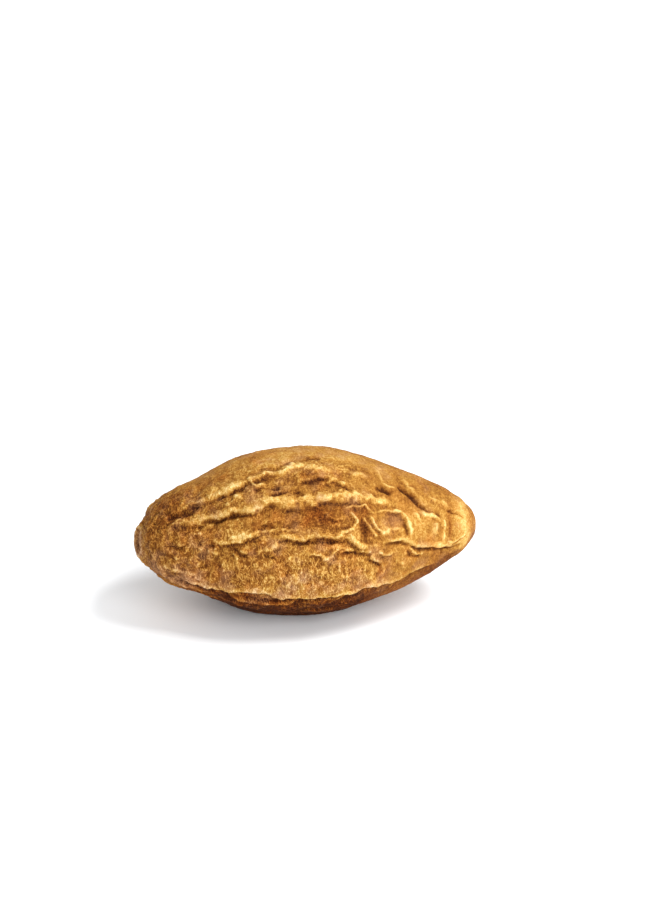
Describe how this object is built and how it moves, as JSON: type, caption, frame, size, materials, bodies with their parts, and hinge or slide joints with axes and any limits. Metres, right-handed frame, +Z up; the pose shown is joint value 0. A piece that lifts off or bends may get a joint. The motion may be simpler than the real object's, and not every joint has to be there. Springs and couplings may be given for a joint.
{
  "type": "dried haritaki fruit",
  "caption": "Whole dried haritaki fruit lying on its side: a spindle with long ribs, crests, folds and a small stem scar at one end.",
  "frame": {"origin": "on the flat spot that the fruit rests on, under the middle of its axis", "axes": "+X along the fruit's axis from the stem scar to the tip, +Z up, -Y towards the side the picture shows"},
  "size_m": [0.0362, 0.0191, 0.0178],
  "materials": {
    "dried_skin": "dull dried fruit skin, golden tan with pale crests and brown folds"
  },
  "bodies": {
    "root": {"haritaki_fruit": "dried_skin"}
  },
  "joints": []
}
